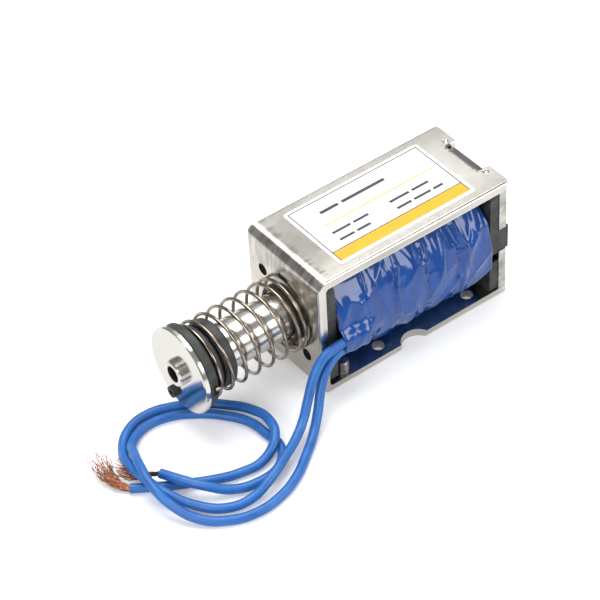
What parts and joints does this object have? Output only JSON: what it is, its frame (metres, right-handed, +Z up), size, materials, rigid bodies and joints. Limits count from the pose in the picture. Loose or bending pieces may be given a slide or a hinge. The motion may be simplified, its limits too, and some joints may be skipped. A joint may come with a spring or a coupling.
{
  "type": "push pull solenoid",
  "caption": "Open-frame push pull solenoid: bent steel frame, taped coil, sprung plunger with end disc, and two stripped leads.",
  "frame": {"origin": "on the plunger's axis at the frame's front mounting face", "axes": "+X along the plunger's axis into the frame, +Z up from the bottom wall, -Y the coil's open side with the leads"},
  "size_m": [0.1072, 0.0473, 0.0331],
  "materials": {
    "nickel_plate": "nickel plated, satin",
    "polished_nickel": "nickel plated, polished",
    "core_steel": "turned mild steel",
    "black_moulding": "moulded nylon",
    "black_rubber": "matt rubber",
    "brass": "drawn brass",
    "copper": "bare copper",
    "blue_tape": "glossy film tape",
    "blue_lead": "PVC insulation",
    "label_paper": "printed film",
    "spring_wire": "drawn spring steel"
  },
  "bodies": {
    "frame": {"c_frame": "nickel_plate", "back_plate": "nickel_plate", "bobbin": "black_moulding", "guide_sleeve": "brass", "winding": "copper", "coil_tape": "blue_tape", "label": "label_paper", "fixed_core": "core_steel", "base_screw": "nickel_plate", "return_spring": "spring_wire", "lead_a": "blue_lead", "lead_b": "blue_lead", "strands_a": "copper", "strands_b": "copper"},
    "plunger": {"plunger": "polished_nickel", "push_rod": "brass", "end_washer": "black_rubber", "bumper_outer": "black_rubber", "bumper_inner": "black_rubber", "end_disc": "polished_nickel", "disc_peg": "black_moulding"}
  },
  "joints": [
    {"name": "plunger_slide", "type": "slide", "parent": "frame", "child": "plunger", "axis": [1, 0, 0], "range_m": [0, 0.01], "stiffness_N_per_m": 160, "springref_m": -0.002, "deforming": ["return_spring"]}
  ]
}
